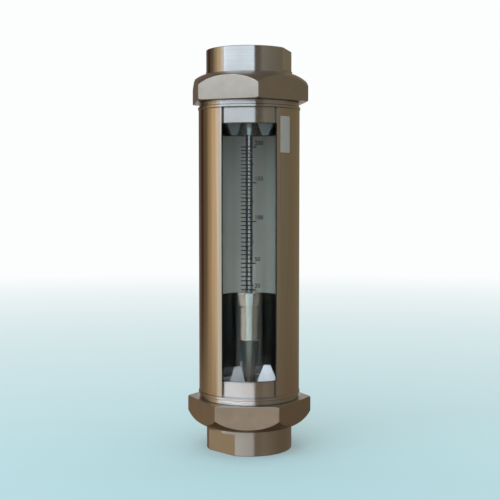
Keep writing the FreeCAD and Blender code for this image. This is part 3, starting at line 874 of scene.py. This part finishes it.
@dataclass
class FloatGroup:
    """Float with its bushes, and the rod and ferrule that guide and stop it."""

    def build(self) -> list[Piece]:
        """Dresses the CAD nodes.

        Returns:
            The nodes' objects.
        """
        return dress_nodes(
            {
                "float_body": FLOAT_STEEL,
                "float_nose": NOSE_STEEL,
                "float_head_bush": PTFE,
                "float_shank_bush": PTFE,
                "guide_rod": GROUND_ROD,
                "rod_ferrule": MACHINED,
            }
        )


@dataclass
class Sleeve:
    """Slotted steel sleeve with its screws and the blank label on its right."""

    label_width: float = 12.0 * MM
    label_height: float = 33.0 * MM
    label_azimuth: float = math.radians(43.8)
    label_drop: float = 24.1 * MM  # sleeve's upper end to the label's middle
    label_thickness: float = 0.1 * MM
    corner: float = 1.2 * MM
    corner_steps: int = 5
    arc_step: float = 1.0 * MM  # width of a flat of the bent label

    def build(self) -> list[Piece]:
        """Dresses sleeve and screws, and sticks the label on.

        Returns:
            The sleeve's pieces.
        """
        pieces = dress_nodes({"sleeve": SLEEVE_STEEL, "sleeve_screws": MACHINED})
        return pieces + [self.label()]

    def label(self) -> Piece:
        """Makes the blank label: a film with round corners, bent round the sleeve.

        Returns:
            The label.
        """
        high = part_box("sleeve")[1]
        radius = high.x
        middle = high.z - self.label_drop
        half_width, half_height = self.label_width / 2, self.label_height / 2
        outline = []
        for quarter, (x, y) in enumerate([(1, 1), (-1, 1), (-1, -1), (1, -1)]):
            for n in range(self.corner_steps + 1):
                turn = math.pi / 2 * (quarter + n / self.corner_steps)
                across = x * (half_width - self.corner) + self.corner * math.cos(turn)
                up = y * (half_height - self.corner) + self.corner * math.sin(turn)
                outline.append((across, up))
        shape = bmesh.new()
        face = shape.faces.new([shape.verts.new((across, up, 0)) for across, up in outline])
        raised = bmesh.ops.extrude_face_region(shape, geom=[face])["geom"]
        for vertex in [part for part in raised if isinstance(part, bmesh.types.BMVert)]:
            vertex.co.z = self.label_thickness
        slice_upright(shape, -half_width, self.arc_step, int(self.label_width / self.arc_step))
        for vertex in shape.verts:
            across, up, off = vertex.co
            vertex.co = on_axis(radius + off, self.label_azimuth + across / radius, middle + up)
        bmesh.ops.recalc_face_normals(shape, faces=shape.faces)
        piece = new_piece("sleeve_label", mesh_of(shape, "label"), "meter")
        LABEL_FILM.dress(piece)
        return piece


# ------------------------------------------------------------------------------- studio
@dataclass(frozen=True)
class Surround(Finish):
    """Matt studio screens, lit so that they glow evenly, in upright bands of tan, brown and grey.

    Low boards stand in front of their foot, in bands of their own. Each band is an azimuth and a colour.
    """

    strength: float = 1.5
    low_top: float = -0.33  # height at which the low boards end
    soft_edge: float = 0.03  # half the height over which they give way to the screens
    low_stops: tuple[tuple[float, str], ...] = (
        (-180, "#5f5147"),
        (-140, "#6c5d4b"),
        (-110, "#8a755c"),
        (-96, "#84715c"),
        (-80, "#7c6b58"),
        (-74, "#d8ccb6"),
        (-66, "#cac0b2"),
        (-20, "#c6bcae"),
        (9, "#bbac9c"),
        (14, "#84725f"),
        (40, "#74634f"),
        (90, "#5f4e3c"),
        (180, "#5f5147"),
    )
    stops: tuple[tuple[float, str], ...] = (
        (-180, "#5f5147"),
        (-145, "#5f5147"),
        (-140, "#3a271c"),
        (-128, "#3a271c"),
        (-124, "#5a4c38"),
        (-111, "#5e503c"),
        (-106, "#917e66"),
        (-96, "#a48d6b"),
        (-92, "#c9ae86"),
        (-82, "#cbb08c"),
        (-76, "#e2d8c8"),
        (-71, "#c2c4c6"),
        (-62, "#73777b"),
        (12, "#73777b"),
        (17, "#564f46"),
        (28, "#5d554a"),
        (36, "#7b746a"),
        (60, "#726a5e"),
        (90, "#6b6453"),
        (112, "#6b614e"),
        (125, "#6e6350"),
        (180, "#6a604c"),
    )

    def shade(self, tree: Tree) -> Socket:
        """Emission whose colour follows the azimuth, on the low boards and on the screens above them.

        Args:
            tree: the material's node tree.

        Returns:
            The shader.
        """
        split = add_node(tree, "ShaderNodeSeparateXYZ", {0: places(tree)}).outputs
        front = combine(tree, "MULTIPLY", split["Y"], -1.0)
        turn = combine(tree, "ARCTAN2", split["X"], front)
        share = mapped(tree, turn, -math.pi, math.pi)
        tiers = []
        for stops in (self.low_stops, self.stops):
            bands = add_node(tree, "ShaderNodeValToRGB", {"Fac": share})
            set_stops(bands.color_ramp, [((azimuth + 180) / 360, colour) for azimuth, colour in stops])
            tiers.append(bands.outputs["Color"])
        upper = mapped(tree, split["Z"], self.low_top - self.soft_edge, self.low_top + self.soft_edge)
        inputs = {"Color": blend(tree, upper, *tiers, "RGBA"), "Strength": self.strength}
        return add_node(tree, "ShaderNodeEmission", inputs).outputs[0]


@dataclass(frozen=True)
class PaleFloor(Finish):
    """Pale matt paper on the studio floor, which fades into the white of the background."""

    near_colour: str = "#97bcbf"
    far_colour: str = "#fcfefe"
    middle: Point = (0.0, -0.35, 0.0)  # of the fade, in front of the object
    fade_to: float = 2.35
    roughness: float = 0.85
    fibre_mm: float = 1000 / 900  # 900 fibres to the metre
    fibre_depth_mm: float = 0.1
    fibre_strength: float = 0.2

    def shade(self, tree: Tree) -> Socket:
        """Matt paper near the object, and the background's own white far from it.

        Args:
            tree: the material's node tree.

        Returns:
            The shader.
        """
        place = places(tree)
        span = {0: place, 1: self.middle}
        away = add_node(tree, "ShaderNodeVectorMath", span, operation="DISTANCE").outputs["Value"]
        fibre = noise(tree, place, self.fibre_mm, detail=3.0)
        normal = relief(tree, fibre, self.fibre_strength, self.fibre_depth_mm)
        inputs = {"Base Color": linear(self.near_colour), "Roughness": self.roughness, "Normal": normal}
        paper = add_node(tree, "ShaderNodeBsdfPrincipled", inputs).outputs[0]
        white = add_node(tree, "ShaderNodeEmission", {"Color": linear(self.far_colour)}).outputs[0]
        fade = mapped(tree, away, 0.0, self.fade_to)
        return add_node(tree, "ShaderNodeMixShader", {0: fade, 1: paper, 2: white}).outputs[0]


@dataclass(frozen=True)
class Lamp:
    """Flat rectangular lamp, which faces the axis of the meter.

    A lamp for a few nodes gives what lies behind the sleeve's slot the light that a large room would.
    """

    name: str
    azimuth: float
    half_angle: float  # from the middle to the sides, seen from the axis
    distance: float
    foot: float
    height: float
    radiance: float
    colour: str
    only: tuple[str, ...] = ()  # CAD nodes that it lights, past all that would shade them; none: all

    def hang(self) -> None:
        """Hangs the lamp, and links it to the nodes that it is for."""
        data = bpy.data.lights.new(self.name, "AREA")
        data.shape = "RECTANGLE"
        data.size = 2 * self.distance * math.tan(math.radians(self.half_angle))
        data.size_y = self.height
        data.energy = self.radiance * math.pi * data.size * data.size_y
        data.color = linear(self.colour)[:3]
        light = bpy.data.objects.new(self.name, data)
        azimuth = math.radians(self.azimuth)
        light.location = on_axis(self.distance, azimuth, self.foot + self.height / 2)
        light.rotation_euler = (math.radians(90), 0, azimuth)
        light.visible_camera = False
        if self.only:
            # found by aimed rays alone, which pass what would shade its nodes
            data.cycles.use_multiple_importance_sampling = False
            lit = bpy.data.collections.new(self.name)
            for node in self.only:
                lit.objects.link(bpy.data.objects[node])
            light.light_linking.receiver_collection = lit
            light.light_linking.blocker_collection = lit
        bpy.context.scene.collection.objects.link(light)


@dataclass
class Studio:
    """Floor, screens, lights, background and camera."""

    floor_radius: float = 6.0
    screen_radius: float = 2.4
    screen_foot: float = -1.6
    screen_height: float = 3.0
    screen_gap: float = 4.0  # half the opening in the screens behind the object, in degrees
    screen_steps: int = 120
    rim_steps: int = 96
    weld: float = 0.01 * MM  # corners closer than this are joined
    camera_distance: float = 0.9283
    camera_height: float = 0.24196
    camera_side: float = 0.0008
    camera_dip: float = 3.315  # degrees
    lens_mm: float = 70.5
    sensor_mm: float = 36.0
    clip_start: float = 0.01  # nearest distance that the camera sees
    air_colour: str = "#f2f5f7"
    air_heights: tuple[float, float] = (-0.1, 0.9)  # of the direction, between which the air brightens
    air_levels: tuple[float, float] = (0.15, 1.6)

    def build(self) -> list[Piece]:
        """Sets the studio up.

        Returns:
            Its meshes.
        """
        self.camera()
        for lamp in LAMPS:
            lamp.hang()
        self.background()
        floor = self.floor()
        floor.visible_glossy = floor.visible_diffuse = False
        ceiling, pit = self.lid("ceiling", self.screen_height), self.lid("pit", self.screen_foot)
        screens = [self.screens(), ceiling, pit]
        for screen in screens:
            screen.visible_camera = screen.visible_diffuse = screen.visible_shadow = False
        return [floor, *screens]

    def camera(self) -> None:
        """Sets the camera in front of the window, a little above the meter's middle."""
        data = bpy.data.cameras.new("camera")
        data.lens = self.lens_mm
        data.sensor_width = self.sensor_mm
        data.clip_start = self.clip_start
        camera = bpy.data.objects.new("camera", data)
        camera.location = (self.camera_side, -self.camera_distance, self.camera_height)
        camera.rotation_euler = (math.radians(90 - self.camera_dip), 0, 0)
        bpy.context.scene.collection.objects.link(camera)
        bpy.context.scene.camera = camera

    def background(self) -> None:
        """Makes the background pale wherever it is seen, also in metal and glass."""
        world = bpy.data.worlds.new("background")
        world.use_nodes = True
        tree = world.node_tree
        tree.nodes.clear()
        path = add_node(tree, "ShaderNodeLightPath").outputs
        mirrored = combine(tree, "MAXIMUM", path["Is Glossy Ray"], path["Is Transmission Ray"])
        seen = combine(tree, "MAXIMUM", path["Is Camera Ray"], mirrored)
        way = add_node(tree, "ShaderNodeTexCoord").outputs["Generated"]
        upward = add_node(tree, "ShaderNodeSeparateXYZ", {0: way}).outputs["Z"]
        level = mapped(tree, upward, *self.air_heights, *self.air_levels)
        air = {"Color": linear(self.air_colour), "Strength": level}
        soft = add_node(tree, "ShaderNodeBackground", air).outputs[0]
        paper = {"Color": linear(PAPER.far_colour), "Strength": 1.0}
        pale = add_node(tree, "ShaderNodeBackground", paper).outputs[0]
        mixed = add_node(tree, "ShaderNodeMixShader", {0: seen, 1: soft, 2: pale}).outputs[0]
        add_node(tree, "ShaderNodeOutputWorld", {"Surface": mixed})
        bpy.context.scene.world = world
        bpy.context.scene.view_settings.view_transform = "Standard"

    def rim(self, radius: float, height: float) -> list[Point]:
        """Returns the corners of a level disc of that radius and height."""
        return [on_axis(radius, math.tau * n / self.rim_steps, height) for n in range(self.rim_steps)]

    def floor(self) -> Piece:
        """Returns the round paper floor."""
        return self.screen("floor", [self.rim(self.floor_radius, 0)], PAPER)

    def screens(self) -> Piece:
        """Makes the ring of screens round the set, open behind the object.

        Returns:
            The ring.
        """
        sweep = 360 - 2 * self.screen_gap
        quads = []
        for n in range(self.screen_steps):
            a, b = (math.radians(-sweep / 2 + sweep * m / self.screen_steps) for m in (n, n + 1))
            low, high = self.screen_foot, self.screen_height
            corners = [(a, low), (b, low), (b, high), (a, high)]
            quads.append([on_axis(self.screen_radius, azimuth, height) for azimuth, height in corners])
        return self.screen("screens", quads, SCREENS)

    def lid(self, name: str, height: float) -> Piece:
        """Returns a plain screen of that name and height, which closes the ring above or below."""
        return self.screen(name, [self.rim(self.screen_radius, height)], LID)

    def screen(self, name: str, faces: list[list[Point]], finish: Finish) -> Piece:
        """Makes a flat part of the studio.

        Args:
            name: its name.
            faces: corner points of each face.
            finish: its finish.

        Returns:
            The new object.
        """
        shape = bmesh.new()
        for corners in faces:
            shape.faces.new([shape.verts.new(corner) for corner in corners])
        bmesh.ops.remove_doubles(shape, verts=shape.verts, dist=self.weld)
        piece = bpy.data.objects.new(name, mesh_of(shape, name))
        bpy.context.scene.collection.objects.link(piece)
        finish.dress(piece)
        return piece


# name, azimuth, half angle, distance, foot, height, radiance, colour, nodes
LAMPS = (
    Lamp("softbox", -28.0, 42.0, 1.5, 0.5, 2.1, 1.97, "#e4f2ff"),
    Lamp("float_panel", -62.0, 59.0, 0.9, -0.4, 0.7, 6.4, "#fff2e0", ("float_body",)),
    Lamp("float_fill", 62.0, 59.0, 0.9, -0.4, 0.7, 1.2, "#ffeacd", ("float_body",)),
    Lamp("strip_panel", 0.0, 60.0, 0.5, -0.2, 0.3, 0.45, "#e8effa", ("backing_strip",)),
    Lamp("collar_panel", -31.0, 43.0, 1.5, -1.1, 1.5, 0.8, "#ecf1fb", ("lower_end_piece",)),
    Lamp("stop_panel", 0.0, 72.0, 0.4, -0.3, 0.5, 1.75, "#eef4ff", ("lower_float_stop",)),
)
PAPER = PaleFloor("pale_paper")
SCREENS = Surround("studio_screens")
DIM_STOPS = ((-180, "#5a4c3a"), (180, "#5a4c3a"))
LID = Surround("dim_screens", strength=1.0, stops=DIM_STOPS, low_stops=DIM_STOPS)


def main() -> None:
    """Builds every sub-assembly in order and reports its pieces."""
    logging.basicConfig(level=logging.INFO, format="%(message)s")
    groups = [Studio(), PipeUnion(End.LOWER), PipeUnion(End.UPPER), MeteringTube(), FloatGroup(), Sleeve()]
    for group in groups:
        for piece in group.build():
            LOG.info("%s: %s, %d faces", type(group).__name__, piece.name, len(piece.data.polygons))


if __name__ == "__main__":
    main()
